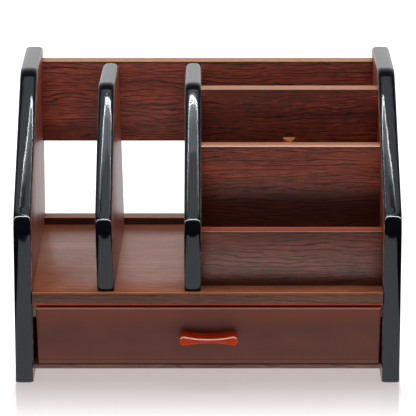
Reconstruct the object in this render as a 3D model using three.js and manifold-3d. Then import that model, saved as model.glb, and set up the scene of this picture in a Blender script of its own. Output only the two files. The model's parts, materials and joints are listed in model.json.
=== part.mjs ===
// Desk organizer: a wood-grain case with two upright slots on the left, a stepped letter rack
// on the right and one full-width drawer underneath.
// Millimetres, +Z up, front toward -Y. The origin is at the bottom, centred on the overall width and
// on the overall depth from the handle to the back.
import * as THREE from 'three';
import * as BufferGeometryUtils from 'three/addons/utils/BufferGeometryUtils.js';
import Module from 'manifold-3d';

const wasm = await Module();
wasm.setup();

// ---- driving dimensions ----------------------------------------------------------------------
const WIDTH = 363.5; // outside, across both side panels
const DEPTH = 252; // of the side panels
const HEIGHT = 269.5;
const SIDE_BOARD = 16.75; // side panels
const DIVIDER_BOARD = 16;
const CROSS_BOARD = 18; // back boards and rack boards
const SHELF_BOARD = 12;

const KNEE_HEIGHT = 160.5; // where a side panel's front edge starts to lean back
const SHOULDER_SETBACK = 151; // from the front edge to where the flat top starts

const SHELF_TOP = 89;
const BOTTOM_PANEL = { under: 14, thickness: 4 };

const DIVIDER_SETBACK = 5; // dividers stop short of the case front
const DIVIDER_KNEE_HEIGHT = 156.5;
const DIVIDER_TOP = 257.25;
const DIVIDER_SHOULDER_SETBACK = 142.5; // from the case front
const DIVIDER_X = { left: -95.75, middle: -14 }; // centre planes

// Black edge moulding: crown height over the board's edge, and height of its flanks.
const TRIM = { crown: 3, edge: 0.75, bendSteps: 8, crownSteps: 10 };
// Radii to which a board's edge is rounded at the knee and the shoulder.
const SIDE_BEND = 27;
const DIVIDER_BEND = 21;

const UPPER_RAIL = { under: 176.5, top: 258 };
const LOWER_BACK = { under: 14, top: 96 };

// Rack boards, front to back: setback of the front face from the case front, and top height.
const RACK = {
  front: { setback: 23, top: 142, dowelHeights: [115] },
  middle: { setback: 80.5, top: 210, dowelHeights: [110, 180] },
  rear: { setback: 136.5, top: 252.5, dowelHeights: [115, 220] },
};
const CABLE_HOLE = { x: 79.75, z: 203, radius: 6.5, sides: 24 };
const REAR_TRAY = { under: 176.5, thickness: 4 };

const DRAWER = {
  frontThickness: 12,
  frontSetback: 1,
  shift: 0.9, // the drawer sits a little right of the middle of its opening
  under: 18.3,
  top: 74.5,
  halfWidthTop: 162.5, // the front narrows slightly downward
  halfWidthBottom: 161,
  edgeRound: 1.25,
  boxHalfWidth: 161,
  boxBoard: 8,
  boxUnder: 18.5,
  boxTop: 58.5,
  boxDepth: 215,
  bottomThickness: 3,
};
const GUIDE_STRIP = { width: 10, height: 16, behindFront: 1 };

const HANDLE = {
  length: 54.5,
  endHeight: 9.25,
  waistHeight: 4.25,
  reach: 18,
  z: 46.75,
  round: 1.25,
  endRadius: 4.2,
};
const SCREW = {
  spacing: 34,
  shank: 1.75,
  length: 20,
  headRadius: 3.5,
  headHeight: 2,
  sunk: 0.5, // how far the head sits below the back of the drawer front
  gap: 0.25,
};

const DOWEL = {
  radius: 2.9,
  length: 30,
  inPanel: 11,
  inShelf: 8, // the shelf is thinner than a dowel's usual seat
  holeRadius: 3.2,
  endGap: 0.5,
  sides: 12,
};
const RAIL_DOWEL_HEIGHTS = [195, 240];
const BACK_DOWEL_HEIGHTS = [30, 60];
const DIVIDER_TOP_DOWEL_HEIGHT = 215;
const SHELF_DOWEL_Y = [-80, 60];
const DIVIDER_DOWEL_Y = [-70, 50];

// ---- derived planes --------------------------------------------------------------------------
const HANDLE_PAST_FRONT = HANDLE.reach - DRAWER.frontSetback;
const FRONT = (HANDLE_PAST_FRONT - DEPTH) / 2; // front of the side panels
const BACK = FRONT + DEPTH;
const INNER_X = WIDTH / 2 - SIDE_BOARD; // inside face of a side panel
const BACK_BOARDS_FRONT = BACK - CROSS_BOARD; // front face of the upper rail and the lower back panel
const SHELF_UNDER = SHELF_TOP - SHELF_BOARD;
const RACK_LEFT = DIVIDER_X.middle + DIVIDER_BOARD / 2; // right face of the middle divider
const BAND = 1; // thickness of the strip glued to the shelf's front edge

// ---- materials -------------------------------------------------------------------------------
function finish(name, color, roughness, metalness = 0) {
  return new THREE.MeshStandardMaterial({ name, color, roughness, metalness });
}
const grain = finish('wood_grain_laminate', 0x5a2820, 0.38);
const shelfGrain = finish('shelf_laminate', 0x8a4a34, 0.32);
const bandGrain = finish('shelf_edge_band', 0x664434, 0.45);
const blackTrim = finish('black_gloss_trim', 0x0b0c10, 0.1);
const drawerPaint = finish('drawer_front_brown', 0x5f3029, 0.4);
const handleRed = finish('handle_gloss_red', 0xb8380a, 0.15);
const paleWood = finish('unfinished_wood', 0xc09a70, 0.75);
const beech = finish('beech_dowel', 0xd8b98a, 0.7);
const steel = finish('zinc_steel', 0xb8bcc0, 0.35, 1);

// ---- building blocks -------------------------------------------------------------------------
const organizer = new THREE.Group();
organizer.name = 'desk_organizer';

function add(name, geometry, material) {
  const mesh = new THREE.Mesh(geometry, material);
  mesh.name = name;
  organizer.add(mesh);
}

// Box from ranges [low, high] along x, y and z.
function block(x, y, z) {
  const geometry = new THREE.BoxGeometry(x[1] - x[0], y[1] - y[0], z[1] - z[0]);
  return geometry.translate((x[0] + x[1]) / 2, (y[0] + y[1]) / 2, (z[0] + z[1]) / 2);
}

// Cylinder along x, y or z: centre is the middle of its axis.
function rod(radius, length, centre, axis, sides = DOWEL.sides) {
  const geometry = new THREE.CylinderGeometry(radius, radius, length, sides);
  if (axis === 'x') geometry.rotateZ(Math.PI / 2);
  if (axis === 'z') geometry.rotateX(Math.PI / 2);
  return geometry.translate(...centre);
}

function toSolid(geometry) {
  const bare = geometry.clone();
  bare.deleteAttribute('normal');
  bare.deleteAttribute('uv');
  const merged = BufferGeometryUtils.mergeVertices(bare, 1e-4);
  return new wasm.Manifold(
    new wasm.Mesh({
      numProp: 3,
      vertProperties: Float32Array.from(merged.attributes.position.array),
      triVerts: Uint32Array.from(merged.index.array),
    }),
  );
}

function cut(geometry, tools) {
  let solid = toSolid(geometry);
  for (const tool of tools) solid = solid.subtract(toSolid(tool));
  const mesh = solid.getMesh();
  const result = new THREE.BufferGeometry();
  result.setAttribute('position', new THREE.Float32BufferAttribute(mesh.vertProperties, 3));
  result.setIndex(Array.from(mesh.triVerts));
  result.computeVertexNormals();
  return result;
}

// ---- dowels ----------------------------------------------------------------------------------
// Each dowel crosses the joint plane at `at` along `axis`. `into` is +1 or -1, the direction
// from the thick end in the board toward the short end in the panel.
const dowels = [];

function addDowel(name, axis, at, into) {
  const shift = into * (DOWEL.inPanel - DOWEL.length / 2);
  const centre = at.slice();
  centre['xyz'.indexOf(axis)] += shift;
  dowels.push({ name, axis, centre });
}

function dowelHoles(...names) {
  return dowels
    .filter((d) => names.some((name) => d.name.startsWith(name)))
    .map((d) => rod(DOWEL.holeRadius, DOWEL.length + 2 * DOWEL.endGap, d.centre, d.axis));
}

const BACK_BOARD_Y = BACK - CROSS_BOARD / 2;
const SHELF_MID = SHELF_TOP - SHELF_BOARD / 2;
const SIDES = [['left', -1], ['right', 1]];
for (const [side, sign] of SIDES) {
  const x = sign * INNER_X;
  SHELF_DOWEL_Y.forEach((y, i) =>
    addDowel(`dowel_shelf_${side}_${i + 1}`, 'x', [x, y, SHELF_MID], sign));
  RAIL_DOWEL_HEIGHTS.forEach((z, i) =>
    addDowel(`dowel_rail_${side}_${i + 1}`, 'x', [x, BACK_BOARD_Y, z], sign));
  BACK_DOWEL_HEIGHTS.forEach((z, i) =>
    addDowel(`dowel_back_${side}_${i + 1}`, 'x', [x, BACK_BOARD_Y, z], sign));
}
for (const [board, { setback, dowelHeights }] of Object.entries(RACK)) {
  const y = FRONT + setback + CROSS_BOARD / 2;
  dowelHeights.forEach((z, i) => {
    addDowel(`dowel_rack_${board}_left_${i + 1}`, 'x', [RACK_LEFT, y, z], -1);
    addDowel(`dowel_rack_${board}_right_${i + 1}`, 'x', [INNER_X, y, z], 1);
  });
}
const DIVIDER_DOWEL_Z = SHELF_TOP + DOWEL.inPanel - DOWEL.inShelf;
for (const [divider, x] of Object.entries(DIVIDER_X)) {
  DIVIDER_DOWEL_Y.forEach((y, i) =>
    addDowel(`dowel_divider_${divider}_${i + 1}`, 'z', [x, y, DIVIDER_DOWEL_Z], -1));
  addDowel(`dowel_top_${divider}_1`, 'y', [x, BACK_BOARDS_FRONT, DIVIDER_TOP_DOWEL_HEIGHT], 1);
}
for (const { name, axis, centre } of dowels) {
  add(name, rod(DOWEL.radius, DOWEL.length, centre, axis), beech);
}

// ---- upright panels and their black edge moulding ---------------------------------------------
// The outline of an upright in the y-z plane, from the foot of its front edge over the knee and
// the shoulder to the back end of its top edge, moved inward by the moulding's crown.
function coreCorners({ front, foot, knee, shoulderY, top, back }) {
  const lean = new THREE.Vector2(shoulderY - front, top - knee).normalize();
  const inward = new THREE.Vector2(lean.y, -lean.x).multiplyScalar(TRIM.crown);
  const y0 = front + TRIM.crown;
  const z1 = top - TRIM.crown;
  const kneeZ = knee + inward.y + ((y0 - front - inward.x) * lean.y) / lean.x;
  const shoulder = front + inward.x + ((z1 - knee - inward.y) * lean.x) / lean.y;
  return [[y0, foot], [y0, kneeZ], [shoulder, z1], [back, z1]].map((p) => new THREE.Vector2(...p));
}

// Stations along the core edge: a point and the outward normal, with both corners rounded.
function edgeStations(corners, bend) {
  const normal = (a, b) => new THREE.Vector2(a.y - b.y, b.x - a.x).normalize();
  const stations = [{ point: corners[0], normal: normal(corners[0], corners[1]) }];
  for (let i = 1; i < corners.length - 1; i++) {
    const before = normal(corners[i - 1], corners[i]);
    const after = normal(corners[i], corners[i + 1]);
    const turn = before.angleTo(after);
    const bisector = before.clone().add(after).normalize();
    const centre = corners[i].clone().addScaledVector(bisector, -bend / Math.cos(turn / 2));
    const start = Math.atan2(before.y, before.x);
    for (let k = 0; k <= TRIM.bendSteps; k++) {
      const angle = start - (turn * k) / TRIM.bendSteps;
      const n = new THREE.Vector2(Math.cos(angle), Math.sin(angle));
      stations.push({ point: centre.clone().addScaledVector(n, bend), normal: n });
    }
  }
  const end = corners.length - 1;
  stations.push({ point: corners[end], normal: normal(corners[end - 1], corners[end]) });
  return stations;
}

// Board of the given thickness whose y-z outline is the station points closed by the back edge.
function uprightCore(stations, foot, centreX, board) {
  const outline = stations.map((s) => s.point);
  outline.push(new THREE.Vector2(outline[outline.length - 1].x, foot));
  const extrusion = { depth: board, bevelEnabled: false };
  const geometry = new THREE.ExtrudeGeometry(new THREE.Shape(outline), extrusion);
  // drawn as (y, z) and extruded along the third axis: its axes become y, z and x
  const toFrame = new THREE.Matrix4().makeBasis(
    new THREE.Vector3(0, 1, 0), new THREE.Vector3(0, 0, 1), new THREE.Vector3(1, 0, 0));
  return geometry.applyMatrix4(toFrame).translate(centreX - board / 2, 0, 0);
}

// Moulding swept along the stations: flat on the board, with a low elliptical crown outside.
function mouldingGeometry(stations, centreX, board) {
  const half = board / 2;
  const section = [[half, 0]];
  for (let k = 0; k <= TRIM.crownSteps; k++) {
    const angle = (Math.PI * k) / TRIM.crownSteps;
    section.push([half * Math.cos(angle), TRIM.edge + (TRIM.crown - TRIM.edge) * Math.sin(angle)]);
  }
  section.push([-half, 0]);
  const positions = [];
  for (const { point, normal } of stations) {
    for (const [across, out] of section) {
      positions.push(centreX + across, point.x + out * normal.x, point.y + out * normal.y);
    }
  }
  const n = section.length;
  const index = [];
  for (let s = 0; s < stations.length - 1; s++) {
    for (let k = 0; k < n; k++) {
      const a = s * n + k;
      const b = s * n + ((k + 1) % n);
      index.push(a, a + n, b, b, a + n, b + n);
    }
  }
  const last = (stations.length - 1) * n;
  for (let k = 1; k < n - 1; k++) {
    index.push(0, k, k + 1);
    index.push(last, last + k + 1, last + k);
  }
  const geometry = new THREE.BufferGeometry();
  geometry.setAttribute('position', new THREE.Float32BufferAttribute(positions, 3));
  geometry.setIndex(index);
  geometry.computeVertexNormals();
  return geometry;
}

function addUpright(name, centreX, outline, holes) {
  const stations = edgeStations(coreCorners(outline), outline.bend);
  add(name, cut(uprightCore(stations, outline.foot, centreX, outline.board), holes), grain);
  add(`${name}_trim`, mouldingGeometry(stations, centreX, outline.board), blackTrim);
}

const sideOutline = {
  board: SIDE_BOARD,
  bend: SIDE_BEND,
  front: FRONT,
  foot: 0,
  knee: KNEE_HEIGHT,
  shoulderY: FRONT + SHOULDER_SETBACK,
  top: HEIGHT,
  back: BACK,
};
const dividerOutline = {
  board: DIVIDER_BOARD,
  bend: DIVIDER_BEND,
  front: FRONT + DIVIDER_SETBACK,
  foot: SHELF_TOP,
  knee: DIVIDER_KNEE_HEIGHT,
  shoulderY: FRONT + DIVIDER_SHOULDER_SETBACK,
  top: DIVIDER_TOP,
  back: BACK_BOARDS_FRONT,
};
const SIDE_X = (WIDTH - SIDE_BOARD) / 2;
const rackRightDowels = Object.keys(RACK).map((board) => `dowel_rack_${board}_right`);
const rackLeftDowels = Object.keys(RACK).map((board) => `dowel_rack_${board}_left`);
addUpright('left_side_panel', -SIDE_X, sideOutline,
  dowelHoles('dowel_shelf_left', 'dowel_rail_left', 'dowel_back_left'));
addUpright('right_side_panel', SIDE_X, sideOutline,
  dowelHoles('dowel_shelf_right', 'dowel_rail_right', 'dowel_back_right', ...rackRightDowels));
addUpright('left_divider', DIVIDER_X.left, dividerOutline,
  dowelHoles('dowel_divider_left', 'dowel_top_left'));
addUpright('middle_divider', DIVIDER_X.middle, dividerOutline,
  dowelHoles('dowel_divider_middle', 'dowel_top_middle', ...rackLeftDowels));

// ---- shelf, bottom panel and back boards ------------------------------------------------------
const betweenSides = [-INNER_X, INNER_X];
add('shelf',
  cut(block(betweenSides, [FRONT + BAND, BACK_BOARDS_FRONT], [SHELF_UNDER, SHELF_TOP]),
    dowelHoles('dowel_shelf', 'dowel_divider')),
  shelfGrain);
add('shelf_edge_band', block(betweenSides, [FRONT, FRONT + BAND], [SHELF_UNDER, SHELF_TOP]), bandGrain);
add('bottom_panel',
  block(betweenSides, [FRONT + BAND, BACK_BOARDS_FRONT],
    [BOTTOM_PANEL.under, BOTTOM_PANEL.under + BOTTOM_PANEL.thickness]),
  bandGrain);
add('upper_back_rail',
  cut(block(betweenSides, [BACK_BOARDS_FRONT, BACK], [UPPER_RAIL.under, UPPER_RAIL.top]),
    dowelHoles('dowel_rail', 'dowel_top')),
  grain);
add('lower_back_panel',
  cut(block(betweenSides, [BACK_BOARDS_FRONT, BACK], [LOWER_BACK.under, LOWER_BACK.top]),
    dowelHoles('dowel_back')),
  grain);

// ---- stepped rack on the right ----------------------------------------------------------------
const rackX = [RACK_LEFT, INNER_X];
for (const [board, { setback, top }] of Object.entries(RACK)) {
  const y = [FRONT + setback, FRONT + setback + CROSS_BOARD];
  const holes = dowelHoles(`dowel_rack_${board}`);
  if (board === 'rear') {
    const through = [CABLE_HOLE.x, (y[0] + y[1]) / 2, CABLE_HOLE.z];
    holes.push(rod(CABLE_HOLE.radius, CROSS_BOARD + 2, through, 'y', CABLE_HOLE.sides));
  }
  add(`${board}_rack_board`, cut(block(rackX, y, [SHELF_TOP, top]), holes), grain);
}
add('rear_tray_floor',
  block(rackX, [FRONT + RACK.rear.setback + CROSS_BOARD, BACK_BOARDS_FRONT],
    [REAR_TRAY.under, REAR_TRAY.under + REAR_TRAY.thickness]),
  paleWood);

// ---- drawer, closed -----------------------------------------------------------------------------
// Plate standing in the x-z plane, extruded from y0 toward +Y, with rounded front and back rims.
function roundedPlate(shape, y0, thickness, round, steps) {
  const geometry = new THREE.ExtrudeGeometry(shape, {
    depth: thickness - 2 * round,
    bevelEnabled: true,
    bevelThickness: round,
    bevelSize: round,
    bevelOffset: -round,
    bevelSegments: steps,
    curveSegments: 8,
  });
  geometry.rotateX(Math.PI / 2);
  return geometry.translate(0, y0 + thickness - round, 0);
}

const boxFrontY = FRONT + DRAWER.frontSetback + DRAWER.frontThickness;
const boxBackY = boxFrontY + DRAWER.boxDepth;
const boxSideUnder = DRAWER.boxUnder + DRAWER.bottomThickness;
const screwX = [DRAWER.shift - SCREW.spacing / 2, DRAWER.shift + SCREW.spacing / 2];

// One pan-head screw, its shank running toward the front: head at the back of the drawer front.
function screwGeometry(x, headY, gap) {
  const shank = SCREW.length + gap;
  const head = SCREW.headHeight + 2 * gap;
  const headBack = headY + gap;
  const profile = [
    [0, 0], [SCREW.headRadius + gap, 0], [SCREW.headRadius + gap, head],
    [SCREW.shank + gap, head], [SCREW.shank + gap, head + shank - gap], [0, head + shank - gap],
  ].map((p) => new THREE.Vector2(...p));
  const geometry = new THREE.LatheGeometry(profile, DOWEL.sides);
  return geometry.rotateX(Math.PI).translate(x, headBack, HANDLE.z);
}
const screwHeadY = boxFrontY - SCREW.sunk;
const screwHoles = () => screwX.map((x) => screwGeometry(x, screwHeadY, SCREW.gap));

const frontShape = new THREE.Shape(
  [
    [-DRAWER.halfWidthBottom, DRAWER.under], [DRAWER.halfWidthBottom, DRAWER.under],
    [DRAWER.halfWidthTop, DRAWER.top], [-DRAWER.halfWidthTop, DRAWER.top],
  ].map(([x, z]) => new THREE.Vector2(x + DRAWER.shift, z)),
);
const screwAccess = screwX.map((x) =>
  rod(SCREW.headRadius + SCREW.gap, 2, [x, boxFrontY, HANDLE.z], 'y'));
add('drawer_front',
  cut(roundedPlate(frontShape, FRONT + DRAWER.frontSetback, DRAWER.frontThickness, DRAWER.edgeRound, 3),
    [...screwHoles(), ...screwAccess]),
  drawerPaint);

const ascending = (a, b) => a - b;
const shifted = (x) => x + DRAWER.shift;
const insideBox = DRAWER.boxHalfWidth - DRAWER.boxBoard;
for (const [side, sign] of SIDES) {
  const x = [sign * DRAWER.boxHalfWidth, sign * insideBox].sort(ascending).map(shifted);
  add(`drawer_side_${side}`, block(x, [boxFrontY, boxBackY], [boxSideUnder, DRAWER.boxTop]), paleWood);
}
add('drawer_back',
  block([-insideBox, insideBox].map(shifted), [boxBackY - DRAWER.boxBoard, boxBackY],
    [boxSideUnder, DRAWER.boxTop]),
  paleWood);
add('drawer_bottom',
  block([-DRAWER.boxHalfWidth, DRAWER.boxHalfWidth].map(shifted), [boxFrontY, boxBackY],
    [DRAWER.boxUnder, boxSideUnder]),
  paleWood);

// ---- strips under the shelf that keep the drawer level ----------------------------------------
for (const [side, sign] of SIDES) {
  const x = [sign * INNER_X, sign * (INNER_X - GUIDE_STRIP.width)].sort(ascending);
  add(`drawer_guide_strip_${side}`,
    block(x, [boxFrontY + GUIDE_STRIP.behindFront, BACK_BOARDS_FRONT],
      [SHELF_UNDER - GUIDE_STRIP.height, SHELF_UNDER]),
    paleWood);
}

// ---- handle and its screws ----------------------------------------------------------------------

// Solid pull seen from the front: rounded ends, and edges that bow in to a narrow waist.
function handleShape() {
  const r = HANDLE.endRadius;
  const shoulder = HANDLE.length / 2 - r;
  const end = HANDLE.endHeight / 2;
  const bow = HANDLE.waistHeight - end; // control height that puts the curve's middle at the waist
  const shape = new THREE.Shape();
  shape.moveTo(shoulder, -end);
  shape.absellipse(shoulder, 0, r, end, -Math.PI / 2, Math.PI / 2, false, 0);
  shape.quadraticCurveTo(0, bow, -shoulder, end);
  shape.absellipse(-shoulder, 0, r, end, Math.PI / 2, (3 * Math.PI) / 2, false, 0);
  shape.quadraticCurveTo(0, -bow, shoulder, -end);
  return shape;
}
const handleY = FRONT + DRAWER.frontSetback - HANDLE.reach;
const handleBody = roundedPlate(handleShape(), handleY, HANDLE.reach, HANDLE.round, 3);
add('drawer_handle', cut(handleBody.translate(DRAWER.shift, 0, HANDLE.z), screwHoles()), handleRed);
screwX.forEach((x, i) => add(`handle_screw_${i + 1}`, screwGeometry(x, screwHeadY, 0), steel));

export default organizer;
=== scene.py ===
import json
import math

import bmesh
import bpy
from mathutils import Matrix, Vector

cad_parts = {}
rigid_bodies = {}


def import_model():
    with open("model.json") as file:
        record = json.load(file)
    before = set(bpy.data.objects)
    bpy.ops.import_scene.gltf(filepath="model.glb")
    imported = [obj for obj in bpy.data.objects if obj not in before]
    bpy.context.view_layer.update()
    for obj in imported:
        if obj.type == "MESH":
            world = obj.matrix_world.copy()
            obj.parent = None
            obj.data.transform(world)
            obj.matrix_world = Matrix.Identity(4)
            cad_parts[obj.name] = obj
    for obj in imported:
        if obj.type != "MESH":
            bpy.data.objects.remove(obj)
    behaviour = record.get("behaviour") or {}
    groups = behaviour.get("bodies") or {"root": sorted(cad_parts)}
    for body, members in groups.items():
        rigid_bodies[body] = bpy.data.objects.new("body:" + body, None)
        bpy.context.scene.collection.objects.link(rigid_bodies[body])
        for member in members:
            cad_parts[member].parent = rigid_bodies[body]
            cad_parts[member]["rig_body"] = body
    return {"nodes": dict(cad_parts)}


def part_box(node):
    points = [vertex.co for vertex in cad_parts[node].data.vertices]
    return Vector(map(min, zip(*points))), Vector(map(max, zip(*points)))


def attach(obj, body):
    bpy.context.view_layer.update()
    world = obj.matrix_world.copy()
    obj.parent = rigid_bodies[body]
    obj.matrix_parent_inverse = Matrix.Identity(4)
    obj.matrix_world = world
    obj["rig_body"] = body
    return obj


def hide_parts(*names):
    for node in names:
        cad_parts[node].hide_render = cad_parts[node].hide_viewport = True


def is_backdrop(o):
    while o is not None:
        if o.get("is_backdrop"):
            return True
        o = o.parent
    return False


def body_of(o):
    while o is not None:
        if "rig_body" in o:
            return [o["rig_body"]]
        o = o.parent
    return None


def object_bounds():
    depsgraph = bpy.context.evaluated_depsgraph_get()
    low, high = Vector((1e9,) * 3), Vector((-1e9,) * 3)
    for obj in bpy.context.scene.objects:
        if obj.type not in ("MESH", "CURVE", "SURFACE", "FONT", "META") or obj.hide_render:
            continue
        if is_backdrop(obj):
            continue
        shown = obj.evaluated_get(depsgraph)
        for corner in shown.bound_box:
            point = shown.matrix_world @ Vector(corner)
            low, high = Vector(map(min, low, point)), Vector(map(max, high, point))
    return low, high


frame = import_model()
CAD_LOW, CAD_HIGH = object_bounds()

# ---- outline of the uprights, as in the CAD source, in metres ----------------------------------
# knee height, setback of the shoulder from the upright's own front, radius at the knee and the shoulder
SIDE_OUTLINE = {"knee": 0.1605, "shoulder": 0.151, "bend": 0.027}
DIVIDER_OUTLINE = {"knee": 0.1565, "shoulder": 0.1375, "bend": 0.021}
CROWN, EDGE = 0.003, 0.00075
SEAM_RISE = 0.0002  # how far the bare seam beside a moulding stands off the board
FULLNESS = 2.4  # 2 is an elliptical crown, more is flatter with tighter corners
SEAM, NO_SEAM = 0.0003, 0.00002

# ---- materials ---------------------------------------------------------------------------------


def srgb(r, g, b):
    """Linear colour from 0-255 display values."""
    def channel(v):
        v /= 255
        return v / 12.92 if v <= 0.04045 else ((v + 0.055) / 1.055) ** 2.4
    return (channel(r), channel(g), channel(b), 1.0)


class Tree:
    """A material's or world's node tree, with nodes made from keyword values and sockets."""

    def __init__(self, owner):
        owner.use_nodes = True
        self.tree = owner.node_tree
        self.tree.nodes.clear()

    def node(self, kind, inputs=None, **settings):
        made = self.tree.nodes.new(kind)
        for key, value in settings.items():
            setattr(made, key, value)
        for key, value in (inputs or {}).items():
            if isinstance(value, bpy.types.NodeSocket):
                self.tree.links.new(value, made.inputs[key])
            else:
                made.inputs[key].default_value = value
        return made

    def math(self, operation, a, b=0.0):
        return self.node("ShaderNodeMath", {0: a, 1: b}, operation=operation).outputs[0]

    def position(self):
        return self.node("ShaderNodeTexCoord").outputs["Object"]

    def axes(self, vector):
        return self.node("ShaderNodeSeparateXYZ", {0: vector}).outputs

    def scaled(self, vector, scale, offset=(0, 0, 0)):
        return self.node("ShaderNodeMapping", {
            "Vector": vector, "Scale": scale, "Location": offset}).outputs[0]

    def noise(self, vector, detail=3.0, rough=0.55):
        return self.node("ShaderNodeTexNoise", {
            "Vector": vector, "Scale": 1.0, "Detail": detail, "Roughness": rough}).outputs["Fac"]

    def ramp(self, factor, stops):
        made = self.node("ShaderNodeValToRGB", {"Fac": factor})
        elements = made.color_ramp.elements
        while len(elements) < len(stops):
            elements.new(0.5)
        for element, (place, colour) in zip(elements, stops):
            element.position, element.color = place, colour
        return made.outputs["Color"]

    def mask(self, value, low, high, out=(0.0, 1.0)):
        return self.node("ShaderNodeMapRange", {
            "Value": value, "From Min": low, "From Max": high, "To Min": out[0], "To Max": out[1]},
            interpolation_type="SMOOTHSTEP").outputs["Result"]

    def mix(self, factor, a, b, blend="MIX"):
        made = self.node("ShaderNodeMix", data_type="RGBA", blend_type=blend)
        for key, value in ((0, factor), (6, a), (7, b)):
            if isinstance(value, bpy.types.NodeSocket):
                self.tree.links.new(value, made.inputs[key])
            else:
                made.inputs[key].default_value = value
        return made.outputs[2]

    def bump(self, height, strength, distance):
        return self.node("ShaderNodeBump", {
            "Height": height, "Strength": strength, "Distance": distance}).outputs["Normal"]


def surface(name, **values):
    """A new material with a Principled shader; constants go straight on its sockets."""
    material = bpy.data.materials.new(name)
    tree = Tree(material)
    shader = tree.node("ShaderNodeBsdfPrincipled")
    tree.node("ShaderNodeOutputMaterial", {"Surface": shader.outputs[0]})
    for key, value in values.items():
        shader.inputs[key.replace("_", " ")].default_value = value
    return material, tree, shader


def feed(tree, shader, **sockets):
    for key, socket in sockets.items():
        tree.tree.links.new(socket, shader.inputs[key.replace("_", " ")])


AXIS = {"x": 0, "y": 1, "z": 2}


def between(a, b, share):
    """A colour between two others."""
    return tuple(p + (q - p) * share for p, q in zip(a, b))


def grain_fields(tree, along, seed, stretch=1.0):
    """Patterns of a printed wood grain that runs along one axis: broad tone, wavy lines, fine pores."""
    place = tree.position()
    axes = tree.axes(place)

    def streaks(length, width):
        scale = [1 / width] * 3
        scale[AXIS[along]] = 1 / (length * stretch)
        return tree.scaled(place, tuple(scale), (seed, seed * 0.37, seed * 0.71))

    across = [axes[i] for letter, i in AXIS.items() if letter != along]
    run = tree.math("MULTIPLY", tree.math("ADD", *across), 1 / 0.0040)
    warp = tree.noise(streaks(0.080, 0.022), 3.0, 0.5)
    phase = tree.math("MULTIPLY", tree.math("ADD", run, tree.math("MULTIPLY", warp, 5.0)), 2 * math.pi)
    ridge = tree.math("SINE", phase)
    breaks = tree.noise(streaks(0.060, 0.0050), 2.0, 0.55)
    broad = tree.noise(streaks(0.16, 0.016), 2.0, 0.5)
    fine = tree.noise(streaks(0.012, 0.0008), 2.0, 0.62)
    return broad, ridge, breaks, fine


def laminate(name, along, seed, tones, gloss, top=None, chips=(), level=0.5, shading=(), rims=(), lines=0.88):
    """Printed wood-grain foil: thin dark wavy lines with redder fringes along one axis.
    shading holds (axis, start, end, share) of painted shade: the tone is scaled by share at start and whole
    at end; each further (axis, out, in) fades that away from its in place to its out place.
    rims holds (axis, start, end, colour): painted highlight lines along eased edges, full colour at start and
    none at end.
    chips holds (point, radius) of bare spots, and lines is the strength of the dark lines."""
    dark, base, light = tones
    material, tree, shader = surface(name, Roughness=gloss, Specular_IOR_Level=level)
    broad, ridge, breaks, fine = grain_fields(tree, along, seed)
    figure = tree.math("ADD", tree.math("MULTIPLY", broad, 0.45), tree.math("MULTIPLY", fine, 0.55))
    colour = tree.ramp(figure, [
        (0.38, between(base, dark, 0.40)), (0.5, base), (0.62, between(base, light, 0.60))])
    present = tree.mask(breaks, 0.36, 0.50)
    fringe = tree.math("MULTIPLY", tree.mask(ridge, 0.0, 0.5), present)
    colour = tree.mix(tree.math("MULTIPLY", fringe, 0.45), colour, between(base, light, 0.3))
    line = tree.math("MULTIPLY", tree.mask(ridge, 0.45, 0.92), present)
    colour = tree.mix(tree.math("MULTIPLY", line, lines), colour, dark)
    pores = tree.mask(fine, 0.38, 0.30)
    colour = tree.mix(tree.math("MULTIPLY", pores, 0.6), colour, dark)
    glint = tree.mask(fine, 0.62, 0.74)
    colour = tree.mix(tree.math("MULTIPLY", glint, 0.6), colour, light)
    # painted shade: the colour is made darker where the light is kept off the board
    for axis, start, end, share, *within in shading:
        depth = tree.mask(tree.axes(tree.position())[AXIS[axis]], start, end)
        for other, out_at, in_at in within:
            outside = tree.mask(tree.axes(tree.position())[AXIS[other]], in_at, out_at)
            depth = tree.math("MAXIMUM", depth, outside)
        shaded = tree.mix(1.0, colour, (share, share * 0.92, share * 0.85, 1), "MULTIPLY")
        colour = tree.mix(depth, shaded, colour)
    # painted highlight lines along eased edges
    for axis, start, end, paint in rims:
        reach = tree.mask(tree.axes(tree.position())[AXIS[axis]], end, start)
        colour = tree.mix(tree.math("MULTIPLY", reach, 0.8), colour, paint)
    if top is not None:
        height = tree.axes(tree.position())[2]
        under_edge = tree.mask(height, top - 0.0018, top - 0.0010)
        colour = tree.mix(tree.math("MULTIPLY", under_edge, 0.85), colour, srgb(30, 14, 12))
    for point, radius in chips:
        gap = tree.node("ShaderNodeVectorMath", {0: tree.position(), 1: point}, operation="DISTANCE")
        ragged = tree.math("ADD", gap.outputs["Value"],
                           tree.math("MULTIPLY", tree.math("SUBTRACT", fine, 0.5), radius * 2.5))
        colour = tree.mix(tree.mask(ragged, radius, radius * 0.8), colour, srgb(215, 185, 145))
    height = tree.math("SUBTRACT", fine, tree.math("MULTIPLY", line, 0.5))
    feed(tree, shader, Base_Color=colour, Normal=tree.bump(height, 0.35, 0.0001))
    return material


RED_TONES = (srgb(42, 16, 13), srgb(150, 72, 54), srgb(222, 108, 72))
DEEP_TONES = (srgb(14, 3, 2), srgb(134, 50, 32), srgb(238, 98, 52))
BROWN_TONES = (srgb(34, 18, 16), srgb(118, 60, 48), srgb(168, 92, 66))
SHELF_TONES = (srgb(88, 42, 28), srgb(160, 91, 62), srgb(198, 124, 86))
BAND_TONES = (srgb(66, 36, 26), srgb(106, 67, 50), srgb(140, 98, 72))


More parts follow.
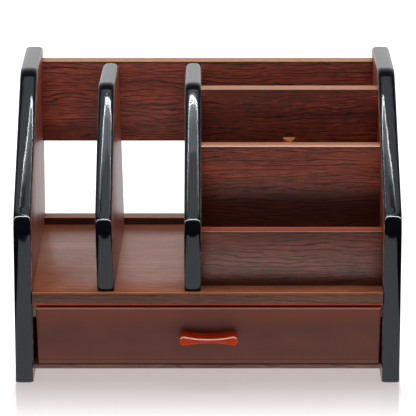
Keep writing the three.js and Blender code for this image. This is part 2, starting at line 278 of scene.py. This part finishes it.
def edge_stock(name, front, back, line=None):
    """Raw board edge seen from above: warmer at the front, greyer at the back; line gives a painted highlight
    along the front.
    """
    material, tree, shader = surface(name, Roughness=0.6, Specular_IOR_Level=0.3)
    depth = tree.axes(tree.node("ShaderNodeTexCoord").outputs["Generated"])[1]
    speck = tree.noise(tree.scaled(tree.position(), (180, 700, 700)), 3.0)
    colour = tree.mix(tree.mask(depth, 0.35, 0.65), front, back)
    # painted highlight line along the front edge
    if line is not None:
        colour = tree.mix(tree.mask(depth, 0.22, 0.12), colour, line)
    shade = tree.ramp(speck, [(0.3, (0.72, 0.68, 0.64, 1)), (0.6, (1, 1, 1, 1))])
    colour = tree.mix(1.0, colour, shade, "MULTIPLY")
    feed(tree, shader, Base_Color=colour, Normal=tree.bump(speck, 0.3, 0.0002))
    return material


def black_trim():
    material, tree, shader = surface("black_gloss_trim", Roughness=0.05, IOR=1.5,
                                     Specular_Tint=(0.86, 0.93, 1.0, 1))
    place = tree.position()
    flow = tree.noise(tree.scaled(place, (60, 60, 45)), 1.0, 0.4)
    dust = tree.noise(tree.scaled(place, (2500, 2500, 2500)), 1.0)
    colour = tree.ramp(dust, [(0.4, srgb(9, 12, 19)), (0.75, srgb(15, 18, 27))])
    feed(tree, shader, Base_Color=colour, Normal=tree.bump(flow, 0.06, 0.002))
    return material


def trim_seam():
    """Cream line of bare board between the laminate and the moulding."""
    material, tree, shader = surface("trim_seam", Roughness=0.6)
    wear = tree.noise(tree.scaled(tree.position(), (90, 90, 90)), 4.0, 0.7)
    colour = tree.ramp(wear, [
        (0.35, srgb(70, 50, 40)), (0.5, srgb(160, 130, 105)), (0.68, srgb(222, 205, 180))])
    feed(tree, shader, Base_Color=colour)
    return material


def drawer_paint(low, high):
    """Satin brown paint, redder toward the top, with a painted reflection making it redder at the bottom, a
    painted shade line at the bottom chamfer, a painted highlight line along the top edge and painted light
    along the top edge's front.
    """
    material, tree, shader = surface("drawer_front_brown", Roughness=0.34, Specular_IOR_Level=0.3)
    cloud = tree.noise(tree.scaled(tree.position(), (25, 25, 60)), 3.0)
    peel = tree.noise(tree.scaled(tree.position(), (900, 900, 1400)), 2.0)
    colour = tree.ramp(cloud, [(0.3, srgb(88, 40, 29)), (0.7, srgb(102, 47, 34))])
    x, y, z = tree.axes(tree.position())
    upper = tree.mask(z, low.z + 0.6 * (high.z - low.z), high.z - 0.004)
    colour = tree.mix(tree.math("MULTIPLY", upper, 0.75), colour, srgb(122, 54, 34))
    # painted reflection of the floor: redder toward the bottom edge
    lower = tree.mask(z, low.z + 0.010, low.z + 0.003)
    colour = tree.mix(tree.math("MULTIPLY", lower, 0.6), colour, srgb(108, 54, 32))
    # painted shade: a dark line along the crease of the bottom chamfer
    bevel = tree.math("MULTIPLY", tree.mask(z, low.z + 0.0038, low.z + 0.0044),
                      tree.mask(z, low.z + 0.0058, low.z + 0.0050))
    colour = tree.mix(tree.math("MULTIPLY", bevel, 0.6), colour, srgb(52, 24, 18))
    # painted highlight: a pale line along the top edge
    top_highlight = tree.math("MULTIPLY", tree.mask(z, high.z - 0.0019, high.z - 0.0013),
                       tree.mask(z, high.z - 0.0003, high.z - 0.0007))
    colour = tree.mix(tree.math("MULTIPLY", top_highlight, 0.72), colour, srgb(200, 165, 155))
    # painted light: bright red along the front of the top edge, where light falls into the gap
    rim = tree.math("MULTIPLY", tree.mask(z, high.z - 0.0007, high.z - 0.0003),
                    tree.mask(y, low.y + 0.0045, low.y + 0.0030))
    colour = tree.mix(rim, colour, srgb(190, 40, 6))
    feed(tree, shader, Base_Color=colour, Normal=tree.bump(peel, 0.08, 0.0002))
    return material


def handle_lacquer():
    material, tree, shader = surface("handle_gloss_red", Roughness=0.18, Specular_IOR_Level=0.07,
                                     Coat_Weight=0.05, Coat_Roughness=0.05)
    cloud = tree.noise(tree.scaled(tree.position(), (120, 120, 120)), 2.0)
    colour = tree.ramp(cloud, [(0.3, srgb(178, 46, 1)), (0.7, srgb(194, 60, 2))])
    _, facing, upward_part = tree.axes(tree.node("ShaderNodeNewGeometry").outputs["Normal"])
    # painted shade: the upward faces are darker
    top = tree.mask(upward_part, 0.72, 0.92)
    colour = tree.mix(tree.math("MULTIPLY", top, 0.85), colour, srgb(140, 28, 1))
    # painted highlight: a pale line along the front rim
    rim_highlight = tree.math("MULTIPLY", tree.mask(upward_part, 0.28, 0.42), tree.mask(upward_part, 0.93, 0.84))
    rim_highlight = tree.math("MULTIPLY", rim_highlight, tree.mask(facing, -0.30, -0.50))
    colour = tree.mix(tree.math("MULTIPLY", rim_highlight, 0.75), colour, srgb(255, 228, 215))
    feed(tree, shader, Base_Color=colour)
    return material


def bare_wood(name, tones, along, roughness=0.7):
    material, tree, shader = surface(name, Roughness=roughness)
    broad, ridge, breaks, fine = grain_fields(tree, along, 3.1, 0.7)
    figure = tree.math("ADD", tree.math("MULTIPLY", broad, 0.5), tree.math("MULTIPLY", breaks, 0.5))
    colour = tree.ramp(figure, [(0.35, tones[0]), (0.65, tones[1])])
    feed(tree, shader, Base_Color=colour, Normal=tree.bump(fine, 0.3, 0.0002))
    return material


def zinc():
    material, tree, shader = surface("zinc_steel", Metallic=1.0, Roughness=0.35)
    spangle = tree.noise(tree.scaled(tree.position(), (900, 900, 900)), 2.0)
    colour = tree.ramp(spangle, [(0.3, srgb(150, 152, 155)), (0.7, srgb(200, 203, 206))])
    feed(tree, shader, Base_Color=colour,
         Roughness=tree.mask(spangle, 0.2, 0.8, (0.28, 0.45)))
    return material


# ---- mesh helpers --------------------------------------------------------------------------------
scene = bpy.context.scene


def link(name, mesh, materials):
    piece = bpy.data.objects.new(name, mesh)
    scene.collection.objects.link(piece)
    for material in materials:
        mesh.materials.append(material)
    return piece


def lean(x, y, z):
    """How far the left divider stands out of true: its top leans outward and its back end inward."""
    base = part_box("left_divider")[0]
    return x - 0.027 * (z - base.z) + 0.0167 * (y - base.y), y, z


def prism(profile, low_x, high_x):
    """A closed bmesh: a (y, z) polygon extruded along x."""
    bm = bmesh.new()
    near = [bm.verts.new((low_x, y, z)) for y, z in profile]
    far = [bm.verts.new((high_x, y, z)) for y, z in profile]
    bm.faces.new(near)
    bm.faces.new(list(reversed(far)))
    for k in range(len(profile)):
        following = (k + 1) % len(profile)
        bm.faces.new((near[k], far[k], far[following], near[following]))
    bmesh.ops.recalc_face_normals(bm, faces=bm.faces)
    return bm


def spun(centre, axis, profile, sides):
    """A closed mesh of revolution round an axis through centre. profile holds (radius, place along it)."""
    bm = bmesh.new()
    loops = []
    for radius, place in profile:
        turns = [2 * math.pi * k / sides for k in range(sides)]
        loops.append([bm.verts.new((radius * math.cos(t), radius * math.sin(t), place)) for t in turns])
    for a, b in zip(loops, loops[1:]):
        for k in range(sides):
            n = (k + 1) % sides
            bm.faces.new((a[k], a[n], b[n], b[k]))
    bm.faces.new(list(reversed(loops[0])))
    bm.faces.new(loops[-1])
    turn = {"x": Matrix.Rotation(math.pi / 2, 4, "Y"), "y": Matrix.Rotation(-math.pi / 2, 4, "X"),
            "z": Matrix.Identity(4)}[axis]
    bm.transform(Matrix.Translation(centre) @ turn)
    bmesh.ops.recalc_face_normals(bm, faces=bm.faces)
    return bm


def carve(bm, cutters):
    """bm as a mesh, less the cutters."""
    mesh = bpy.data.meshes.new("carved")
    bm.to_mesh(mesh)
    bm.free()
    if not cutters:
        return mesh
    joined = bmesh.new()
    for cutter in cutters:
        part = bpy.data.meshes.new("cutter")
        cutter.to_mesh(part)
        cutter.free()
        joined.from_mesh(part)
    tool_mesh = bpy.data.meshes.new("cutters")
    joined.to_mesh(tool_mesh)
    joined.free()
    board, tool = link("carving", mesh, []), link("carving_tool", tool_mesh, [])
    cut = board.modifiers.new("cut", "BOOLEAN")
    cut.operation, cut.solver, cut.object = "DIFFERENCE", "EXACT", tool
    evaluated = board.evaluated_get(bpy.context.evaluated_depsgraph_get())
    carved = bpy.data.meshes.new_from_object(evaluated)
    for spare in (board, tool):
        spare_mesh = spare.data
        bpy.data.objects.remove(spare)
        bpy.data.meshes.remove(spare_mesh)
    return carved


HOLE_RADIUS, HOLE_END = 0.0032, 0.0005


def dowel_holes(low, high):
    """Cutters for the dowels that enter a box."""
    cutters = []
    for name in frame["nodes"]:
        if not name.startswith("dowel_"):
            continue
        a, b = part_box(name)
        if all(a[i] < high[i] - 1e-5 and b[i] > low[i] + 1e-5 for i in range(3)):
            size = b - a
            axis = max("xyz", key=lambda letter: size[AXIS[letter]])
            reach = size[AXIS[axis]] / 2 + HOLE_END
            cutters.append(spun((a + b) / 2, axis, [(HOLE_RADIUS, -reach), (HOLE_RADIUS, reach)], 16))
    return cutters


def eased(node, width, materials, choose=None, move=None, profile=None, extra=()):
    """A board with its edges eased and its dowel holes cut, in place of a CAD board.
    choose gives a face's material index, profile a (y, z) outline other than its box, extra more cutters."""
    low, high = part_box(node)
    profile = profile or [(low.y, low.z), (high.y, low.z), (high.y, high.z), (low.y, high.z)]
    bm = prism(profile, low.x, high.x)
    sharp = [e for e in bm.edges if e.calc_face_angle() > math.radians(35)]
    bmesh.ops.bevel(bm, geom=sharp, offset=width, segments=3, profile=0.5, affect="EDGES", clamp_overlap=True)
    mesh = carve(bm, dowel_holes(low, high) + list(extra))
    bm = bmesh.new()
    bm.from_mesh(mesh)
    bmesh.ops.remove_doubles(bm, verts=bm.verts, dist=1e-6)
    bm.normal_update()
    for face in bm.faces:
        face.smooth = 2 * face.calc_area() / face.calc_perimeter() < 0.0025
        face.material_index = choose(face) if choose else 0
    if move:
        for vert in bm.verts:
            vert.co = Vector(move(*vert.co))
    mesh = bpy.data.meshes.new(node + "_mesh")
    bm.to_mesh(mesh)
    bm.free()
    mesh.set_sharp_from_angle(angle=math.radians(35))
    piece = link(node.replace("_board", "") + "_eased", mesh, materials)
    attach(piece, body_of(frame["nodes"][node])[0])
    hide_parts(node)
    return piece


def corner_stations(front, foot, knee, shoulder, top, back, bend, steps):
    """Points and outward normals along the board edge under a moulding, bends rounded."""
    slope = Vector((shoulder - front, top - knee)).normalized()
    inward = Vector((slope.y, -slope.x)) * CROWN
    y0, z1 = front + CROWN, top - CROWN
    knee_z = knee + inward.y + (y0 - front - inward.x) * slope.y / slope.x
    shoulder_y = front + inward.x + (z1 - knee - inward.y) * slope.x / slope.y
    corners = [Vector(p) for p in ((y0, foot), (y0, knee_z), (shoulder_y, z1), (back, z1))]
    normals = []
    for a, b in zip(corners, corners[1:]):
        along = (b - a).normalized()
        normals.append(Vector((-along.y, along.x)))
    stations = [(corners[0], normals[0])]
    for i in (1, 2):
        before, after = normals[i - 1], normals[i]
        turn = before.angle(after)
        bisector = (before + after).normalized()
        centre = corners[i] - bisector * (bend / math.cos(turn / 2))
        start = math.atan2(before.y, before.x)
        for k in range(steps + 1):
            angle = start - turn * k / steps
            n = Vector((math.cos(angle), math.sin(angle)))
            stations.append((centre + n * bend, n))
    stations.append((corners[3], normals[2]))
    return stations


def moulding(name, node, outline, materials, end_round, seams, move=None):
    """Black edge moulding: a low crown swept along the upright's front, slope and top.
    seams are the widths of bare board left beside it on the -x and +x side."""
    low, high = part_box(node)
    mid_x, half = (low.x + high.x) / 2, (high.x - low.x) / 2
    stations = corner_stations(low.y, low.z, outline["knee"], low.y + outline["shoulder"], high.z, high.y,
                               outline["bend"], 14)
    near, far = half - seams[0], half - seams[1]
    # (across, out, 1 on the bare seam) round the section, from the board's +x edge to its -x edge
    section = [(half, 0.0, 1), (half, SEAM_RISE, 1), (far, EDGE, 0)]
    count = 28
    for k in range(1, count):
        angle = math.pi * k / count
        across = math.copysign(abs(math.cos(angle)) ** (2 / FULLNESS), math.cos(angle))
        rise = max(0.0, math.sin(angle)) ** (2 / FULLNESS)
        section.append(((far if across > 0 else near) * across, EDGE + (CROWN - EDGE) * rise, 0))
    section += [(-near, EDGE, 1), (-half, SEAM_RISE, 1), (-half, 0.0, 1)]
    # the foot is rounded over: extra rings near the first station, drawn in
    rings = []
    first, normal = stations[0]
    for k in range(5):
        angle = math.pi / 2 * k / 4
        drop = end_round * (1 - math.sin(angle))
        place = first + Vector((0, end_round * (1 - math.cos(angle))))
        rings.append((place, normal, 1 - drop / CROWN * 0.9, drop))
    rings += [(p, n, 1.0, 0.0) for p, n in stations[1:]]
    bm = bmesh.new()
    loops = []
    for point, n, rise, pull in rings:
        loop = []
        for across, out, _ in section:
            x = mid_x + across * (1 - pull / half)
            p = point + n * out * rise
            loop.append(bm.verts.new(move(x, p.x, p.y) if move else (x, p.x, p.y)))
        loops.append(loop)
    size = len(section)
    for a, b in zip(loops, loops[1:]):
        for k in range(size):
            following = (k + 1) % size
            face = bm.faces.new((a[k], a[following], b[following], b[k]))
            face.material_index = 1 if section[k][2] and section[following][2] or k in (1, size - 3) else 0
    bm.faces.new(loops[0])
    bm.faces.new(list(reversed(loops[-1])))
    bmesh.ops.remove_doubles(bm, verts=bm.verts, dist=1e-7)
    bmesh.ops.recalc_face_normals(bm, faces=bm.faces)
    for face in bm.faces:
        face.smooth = True
    mesh = bpy.data.meshes.new(name + "_mesh")
    bm.to_mesh(mesh)
    bm.free()
    mesh.set_sharp_from_angle(angle=math.radians(38))
    piece = link(name, mesh, materials)
    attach(piece, "case")
    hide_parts(node)
    return piece


def outward_normals(outline):
    """Unit normals of a closed counter-clockwise (x, z) outline, at its points."""
    normals = []
    for i, point in enumerate(outline):
        before = (Vector(point) - Vector(outline[i - 1])).normalized()
        after = (Vector(outline[(i + 1) % len(outline)]) - Vector(point)).normalized()
        along = (before + after).normalized()
        normals.append(Vector((along.y, -along.x)))
    return normals


def plate(name, loops, materials, sharp_degrees):
    """A closed piece from loops of points, front loop first."""
    bm = bmesh.new()
    rings = [[bm.verts.new(point) for point in loop] for loop in loops]
    count = len(rings[0])
    for a, b in zip(rings, rings[1:]):
        for k in range(count):
            following = (k + 1) % count
            bm.faces.new((a[k], a[following], b[following], b[k]))
    bm.faces.new(rings[0])
    bm.faces.new(list(reversed(rings[-1])))
    bmesh.ops.recalc_face_normals(bm, faces=bm.faces)
    for face in bm.faces:
        face.smooth = True
    mesh = bpy.data.meshes.new(name + "_mesh")
    bm.to_mesh(mesh)
    bm.free()
    mesh.set_sharp_from_angle(angle=math.radians(sharp_degrees))
    return link(name, mesh, materials)


# ---- the case --------------------------------------------------------------------------------------
black_mat, seam_mat = black_trim(), trim_seam()
panel_mat = laminate("side_laminate", "z", 11.0, RED_TONES, 0.34, level=0.4)


def upward(face):
    return 1 if face.normal.z > 0.75 else 0


for node, outline in (("left_side_panel", SIDE_OUTLINE), ("right_side_panel", SIDE_OUTLINE),
                      ("left_divider", DIVIDER_OUTLINE), ("middle_divider", DIVIDER_OUTLINE)):
    move = lean if node == "left_divider" else None
    low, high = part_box(node + "_trim")
    stations = corner_stations(low.y, low.z, outline["knee"], low.y + outline["shoulder"], high.z, high.y,
                               outline["bend"], 14)
    profile = [tuple(point) for point, _ in stations] + [(high.y, low.z)]
    board = eased(node, 0.0002, [panel_mat], None, move, profile)
    # the outer flanks of the case are black to the edge, the inner ones and the dividers show a cream line
    seams = {"left_side_panel": (NO_SEAM, SEAM), "right_side_panel": (SEAM, NO_SEAM)}.get(node, (SEAM, SEAM))
    foot_round = 0.0016 if node.endswith("side_panel") else 0.0007
    moulding(node + "_moulding", node + "_trim", outline, [black_mat, seam_mat], foot_round, seams, move)

tan_rail = edge_stock("rail_edge", srgb(170, 116, 76), srgb(156, 112, 92))
tan_low = edge_stock("lower_panel_edge", srgb(168, 110, 78), srgb(128, 106, 90))
tan_rear = edge_stock("rear_rack_edge", srgb(170, 112, 76), srgb(160, 116, 97))
# the middle and front rack edges get a painted highlight line along their front
tan_mid = edge_stock("middle_rack_edge", srgb(192, 142, 118), srgb(172, 112, 82), srgb(234, 198, 180))
red_front = edge_stock("front_rack_edge", srgb(134, 64, 46), srgb(164, 74, 52), srgb(166, 112, 94))
boards = (
    ("upper_back_rail", tan_rail, 21.0), ("lower_back_panel", tan_low, 23.5),
    ("front_rack_board", red_front, 5.2), ("middle_rack_board", tan_mid, 7.7),
    ("rear_rack_board", tan_rear, 9.1),
)
bore_mat = edge_stock("hole_wall", srgb(150, 92, 58), srgb(150, 92, 58))
EASE = 0.0003  # how much is taken off a board's sharp edges
FLARE = 0.0008  # how far the cable hole's rims open out


def bore(node):
    """Centre and radius of the hole drilled through a CAD board along y, from its rim on the front face."""
    low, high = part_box(node)
    board = frame["nodes"][node]
    corners = [board.matrix_world @ v.co for v in board.data.vertices]
    rim = [p for p in corners if p.y < low.y + 1e-5
           and low.x + FLARE < p.x < high.x - FLARE and low.z + FLARE < p.z < high.z - FLARE]
    xs, zs = [p.x for p in rim], [p.z for p in rim]
    centre = Vector(((min(xs) + max(xs)) / 2, (low.y + high.y) / 2, (min(zs) + max(zs)) / 2))
    return centre, (max(xs) - min(xs)) / 2


hole_centre, hole_radius = bore("rear_rack_board")


def cable_hole(front, back):
    """The drilled hole's cutter, lightly flared at both rims."""
    half = (back - front) / 2
    profile = [(hole_radius + 2 * FLARE, -half - FLARE), (hole_radius, -half + FLARE),
               (hole_radius, half - FLARE), (hole_radius + 2 * FLARE, half + FLARE)]
    return spun(hole_centre, "y", profile, 48)


def rack_face(face):
    """Material of a face of the rear rack board: laminate, raw top edge or the hole's wall."""
    middle = face.calc_center_median()
    reach = Vector((middle.x - hole_centre.x, middle.z - hole_centre.z)).length
    in_hole = reach < hole_radius * 1.15 and abs(face.normal.y) < 0.9 and face.calc_area() < 2e-5
    return 2 if in_hole else upward(face)


shelf_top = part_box("shelf")[1].z
rack_tops = {name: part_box(name + "_rack_board")[1].z for name in ("front", "middle", "rear")}
divider_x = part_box("middle_divider")[1].x
rail_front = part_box("upper_back_rail")[0].y
panel_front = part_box("lower_back_panel")[0].y
INNER_FACE = ("y", rail_front + 0.004, rail_front + 0.001)
# painted shade: how much darker each board's colour is made where its neighbour in front keeps the light off
# it, including the rail face seen through the cable hole
painted_shade = {
    "upper_back_rail": [("x", divider_x + 0.004, divider_x - 0.004, 0.62, INNER_FACE),
                        ("z", hole_centre.z - 0.004, hole_centre.z + 0.010, 0.02,
                         ("x", divider_x + 0.010, divider_x + 0.030), INNER_FACE)],
    "lower_back_panel": [("y", panel_front + 0.0005, panel_front + 0.002, 0.12)],
    "front_rack_board": [("z", shelf_top + 0.002, shelf_top + 0.012, 0.45)],
    "middle_rack_board": [("z", rack_tops["front"] + 0.017, rack_tops["front"] + 0.034, 0.26)],
    "rear_rack_board": [("z", rack_tops["middle"] + 0.020, rack_tops["middle"] + 0.034, 0.50)],
}
TONES = {"front_rack_board": BROWN_TONES, "rear_rack_board": DEEP_TONES}
for node, edge, seed in boards:
    low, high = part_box(node)
    chips = []
    if node in ("rear_rack_board", "middle_rack_board"):
        chips = [((high.x - 0.003, high.y, high.z - 0.0005), 0.0013)]
    face = laminate(node + "_laminate", "x", seed, TONES.get(node, RED_TONES), 0.36, high.z, chips,
                    0.75, painted_shade[node])
    holes = []
    if node == "rear_rack_board":
        holes = [cable_hole(low.y, high.y)]
    choose = rack_face if holes else upward
    eased(node, EASE, [face, edge, bore_mat], choose, extra=holes)

low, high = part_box("shelf")
# painted highlight line along the shelf's front edge
shelf_mat = laminate("shelf_laminate", "x", 31.0, SHELF_TONES, 0.32, level=0.28, lines=0.8,
                     rims=[("y", low.y + 0.0008, low.y + 0.0020, srgb(206, 150, 124))])
low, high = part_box("shelf_edge_band")
# painted highlight lines along the band's top and bottom edges
band_mat = laminate("shelf_edge_band", "x", 33.0, BAND_TONES, 0.45, level=0.3,
                    rims=[("z", high.z - 0.0008, high.z - 0.0016, srgb(168, 78, 34)),
                          ("z", low.z + 0.0007, low.z + 0.0012, srgb(176, 48, 6))])
under_mat = laminate("bottom_panel_edge", "x", 35.0, BAND_TONES, 0.45)
eased("shelf", EASE, [shelf_mat])
eased("shelf_edge_band", EASE, [band_mat])
eased("bottom_panel", EASE, [under_mat])

ply_y = bare_wood("unfinished_wood_y", (srgb(176, 134, 92), srgb(206, 166, 120)), "y")
ply_x = bare_wood("unfinished_wood_x", (srgb(176, 134, 92), srgb(206, 166, 120)), "x")
tray_mat = bare_wood("tray_floor_wood", (srgb(150, 82, 44), srgb(184, 108, 62)), "x")
strip_mat = bare_wood("guide_strip_wood", (srgb(196, 190, 164), srgb(226, 220, 196)), "y")
for node, material in (
    ("rear_tray_floor", tray_mat), ("drawer_guide_strip_left", strip_mat),
    ("drawer_guide_strip_right", strip_mat), ("drawer_side_left", ply_y), ("drawer_side_right", ply_y),
    ("drawer_back", ply_x), ("drawer_bottom", ply_x),
):
    eased(node, EASE, [material])

# ---- the drawer front and handle ---------------------------------------------------------------------
low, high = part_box("drawer_front")
centre_x = (low.x + high.x) / 2
top_half = (high.x - low.x) / 2
TAPER = 0.0015  # how much narrower the foot is than the top, on each side
# y behind the front face; insets of the outline at the sides, the bottom and the top
FRONT_STEPS = ((0.0, 0.0027, 0.0045, 0.0012), (0.0007, 0.0006, 0.0007, 0.0006),
               (0.0011, 0.0002, 0.0002, 0.0002), (0.0016, 0.0, 0.0, 0.0), (high.y - low.y, 0.0, 0.0, 0.0))
loops = []
for back, side, bottom, top in FRONT_STEPS:
    foot, head = top_half - TAPER - side, top_half - side
    loops.append([(centre_x + x, low.y + back, z) for x, z in (
        (-foot, low.z + bottom), (foot, low.z + bottom), (head, high.z - top), (-head, high.z - top))])
drawer_front = plate("drawer_front_panel", loops, [drawer_paint(low, high)], 6)
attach(drawer_front, "drawer")
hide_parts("drawer_front")

low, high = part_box("drawer_handle")
PULL_WAIST, PULL_END_RADIUS = 0.002125, 0.0042  # half the waist's height; how far the round ends reach
PULL_RIM = 0.0017  # radius of the front rim


def handle_outline():
    """Rounded ends, and edges that bow in to a narrow waist, as counter-clockwise (x, z) points."""
    mid_x, mid_z = (low.x + high.x) / 2, (low.z + high.z) / 2
    end = (high.z - low.z) / 2
    reach = (high.x - low.x) / 2 - PULL_END_RADIUS
    points = []
    for sign in (1, -1):
        for k in range(17):
            angle = -math.pi / 2 + math.pi * k / 16
            points.append((sign * (reach + PULL_END_RADIUS * math.cos(angle)), sign * end * math.sin(angle)))
        for k in range(1, 24):
            t = 1 - 2 * k / 24
            points.append((sign * reach * t, sign * (PULL_WAIST + (end - PULL_WAIST) * t * t)))
    return [(mid_x + x, mid_z + z) for x, z in points]


outline = handle_outline()
normals = outward_normals(outline)
loops = []
for k in range(7):
    angle = math.pi / 2 * k / 6
    inset, back = PULL_RIM * (1 - math.sin(angle)), PULL_RIM * (1 - math.cos(angle))
    loops.append([(p[0] - n.x * inset, low.y + back, p[1] - n.y * inset) for p, n in zip(outline, normals)])
loops.append([(x, high.y, z) for x, z in outline])
handle = plate("drawer_pull", loops, [handle_lacquer()], 50)
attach(handle, "drawer")
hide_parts("drawer_handle")

# ---- hardware kept from the CAD --------------------------------------------------------------------
beech = bare_wood("beech_dowel", (srgb(190, 150, 100), srgb(222, 186, 138)), "x", 0.65)
steel = zinc()
for name, node in frame["nodes"].items():
    material = beech if name.startswith("dowel_") else steel if name.startswith("handle_screw") else None
    if material:
        node.data.materials.clear()
        node.data.materials.append(material)

# ---- stage, lights and camera ------------------------------------------------------------------------


def sheet(name, corners, material):
    mesh = bpy.data.meshes.new(name + "_mesh")
    mesh.from_pydata(corners, [], [tuple(range(len(corners)))])
    made = link(name, mesh, [material])
    made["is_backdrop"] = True
    return made


# the floor is seen only by the camera and glows white in the open, dimmer and pinker close round the object
# as painted shade and painted reflection
floor_mat, floor_tree, floor_shader = surface("studio_floor", Base_Color=(0.2, 0.2, 0.2, 1), Roughness=0.08,
                                              IOR=1.9)
floor_x, floor_y, _ = floor_tree.axes(floor_tree.position())
front_glow = floor_tree.mask(floor_y, CAD_LOW.y + 0.022, CAD_LOW.y - 0.185)
front_glow = floor_tree.math("MULTIPLY", front_glow, 0.80)
beside = floor_tree.math("MAXIMUM", floor_tree.mask(floor_y, CAD_HIGH.y - 0.02, CAD_HIGH.y + 0.04),
                         floor_tree.mask(floor_tree.math("ABSOLUTE", floor_x),
                                         CAD_HIGH.x - 0.001, CAD_HIGH.x + 0.004))
beside = floor_tree.math("MULTIPLY", beside, 0.55)
open_floor = floor_tree.math("MAXIMUM", floor_tree.math("MULTIPLY", front_glow, 2.0), floor_tree.math(
    "MULTIPLY", beside, 1.8))
feed(floor_tree, floor_shader, Emission_Color=floor_tree.mix(open_floor, (1, 0.90, 0.885, 1), (1, 1, 1, 1)),
     Emission_Strength=floor_tree.math("ADD", 0.49, floor_tree.math("MAXIMUM", front_glow, beside)))
floor = sheet("floor", [(-12, -12, 0), (12, -12, 0), (12, 12, 0), (-12, 12, 0)], floor_mat)
floor.visible_glossy = floor.visible_diffuse = False


def glow(name, strength, colour=(1, 1, 1, 1)):
    material = bpy.data.materials.new(name)
    tree = Tree(material)
    emit = tree.node("ShaderNodeEmission", {"Color": colour, "Strength": strength})
    tree.node("ShaderNodeOutputMaterial", {"Surface": emit.outputs[0]})
    return material, tree, emit


# what the object reflects from below: a bright table in front, the dark room past its edges and
# paler ground behind
TABLE_HALF, TABLE_FRONT = 0.30, -0.655
for name, strength, x_range, y_range, z in (
    ("dark_room", 0.015, (-3, 3), (-4, 3), -0.004),
    ("ground_behind", 1.0, (-3, 3), (0.0, 3), -0.003),
    ("table", 1.2, (-TABLE_HALF, TABLE_HALF), (TABLE_FRONT, CAD_LOW.y + 0.017), -0.002),
    ("table_under", 0.6, (-TABLE_HALF, TABLE_HALF), (CAD_LOW.y + 0.017, 0.3), -0.002),
):
    corners = [(x_range[0], y_range[0], z), (x_range[1], y_range[0], z),
               (x_range[1], y_range[1], z), (x_range[0], y_range[1], z)]
    bounce = sheet(name, corners, glow(name, strength)[0])
    bounce.visible_camera = False


def softbox(centre, bands):
    """A level octagonal softbox above the front, hidden from the camera.
    bands are (inner, outer, strength), the first two across its flats."""
    half_turn = math.pi / 8
    for i, (inner, outer, strength) in enumerate(bands):
        bm = bmesh.new()
        loops = []
        for inradius in (inner, outer):
            radius = inradius / math.cos(half_turn)
            angles = [half_turn + math.pi / 4 * k for k in range(8)]
            loops.append([bm.verts.new((centre[0] + radius * math.cos(t), centre[1] + radius * math.sin(t),
                                        centre[2])) for t in angles])
        for k in range(8):
            n = (k + 1) % 8
            bm.faces.new((loops[0][k], loops[0][n], loops[1][n], loops[1][k]))
        mesh = bpy.data.meshes.new(f"softbox_{i}_mesh")
        bm.to_mesh(mesh)
        bm.free()
        material, tree, emit = glow(f"softbox_{i}", strength)
        reach = tree.axes(tree.position())[1]
        ends = tree.math("MAXIMUM", tree.mask(reach, -0.10, 0.0), tree.mask(reach, -0.40, -0.50))
        share = tree.math("ADD", 0.12, tree.math("MULTIPLY", ends, 0.88))
        if strength > 2:
            feed(tree, emit, Strength=tree.math("MULTIPLY", share, strength))
        made = link(f"softbox_{i}", mesh, [material])
        made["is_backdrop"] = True
        made.visible_camera = False


RIG_HEIGHT = 0.80
softbox((0.0, -0.24, RIG_HEIGHT), (
    (0.2984, 0.300, 90.0), (0.2934, 0.2984, 2.0), (0.2918, 0.2934, 90.0), (0.270, 0.2918, 4.0),
    (0.225, 0.270, 2.5), (0.001, 0.225, 1.2)))

# a wide thin strip in front, seen only as the line of light on the knees
STRIP_HALF, STRIP_BACK, STRIP_FRONT = 1.6, -0.556, -0.590
strip = sheet("front_strip", [
    (-STRIP_HALF, STRIP_FRONT, RIG_HEIGHT), (STRIP_HALF, STRIP_FRONT, RIG_HEIGHT),
    (STRIP_HALF, STRIP_BACK, RIG_HEIGHT), (-STRIP_HALF, STRIP_BACK, RIG_HEIGHT)],
    glow("front_strip", 34.0)[0])
strip.visible_camera = strip.visible_diffuse = False


def fill(name, place, target, size, power):
    """A soft light that isn't seen in reflections."""
    light = bpy.data.lights.new(name, "AREA")
    light.shape, light.size, light.size_y = "RECTANGLE", size[0], size[1]
    light.energy = power
    made = bpy.data.objects.new(name, light)
    made.location = place
    made.rotation_euler = (Vector(target) - Vector(place)).to_track_quat("-Z", "Y").to_euler()
    made.visible_glossy = made.visible_camera = False
    scene.collection.objects.link(made)


fill("overhead_fill", (0.0, 0.1, 1.9), (0.0, 0.1, 0.0), (2.0, 1.4), 33)
fill("front_fill", (0.0, -2.2, 1.1), (0.0, 0.0, 0.12), (1.6, 0.9), 5)

world = bpy.data.worlds.new("studio")
scene.world = world
sky = Tree(world)
direction = sky.axes(sky.node("ShaderNodeTexCoord").outputs["Generated"])
backdrop = sky.math("MULTIPLY", sky.mask(direction[2], 0.95, 0.28), sky.mask(direction[1], -0.1, 0.2))
ceiling = sky.math("MULTIPLY", sky.mask(direction[2], 0.80, 0.93), sky.mask(direction[1], 0.16, 0.10))
strength = sky.math("ADD", sky.math("MULTIPLY", backdrop, 1.1), sky.math("MULTIPLY", ceiling, 1.0))
strength = sky.math("ADD", strength, 0.04)
background = sky.node("ShaderNodeBackground", {"Color": (1, 1, 1, 1), "Strength": strength})
sky.node("ShaderNodeOutputWorld", {"Surface": background.outputs[0]})

SENSOR_MM, LENS_MM = 36.0, 264.58355769
CAMERA_PLACE = (-0.00125, -2.86095, 0.94143)
LOOK_DOWN, TURN = 15.667, -0.0348  # degrees
lens = bpy.data.cameras.new("camera")
lens.sensor_width, lens.lens = SENSOR_MM, LENS_MM
lens.clip_start, lens.clip_end = 0.1, 60
camera = bpy.data.objects.new("camera", lens)
camera.location = CAMERA_PLACE
camera.rotation_euler = (math.radians(90 - LOOK_DOWN), 0, math.radians(TURN))
scene.collection.objects.link(camera)
scene.camera = camera
scene.view_settings.view_transform = "Standard"
scene.view_settings.look = "None"
scene.view_settings.exposure = 0.0
scene.view_settings.gamma = 1.0

low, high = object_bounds()
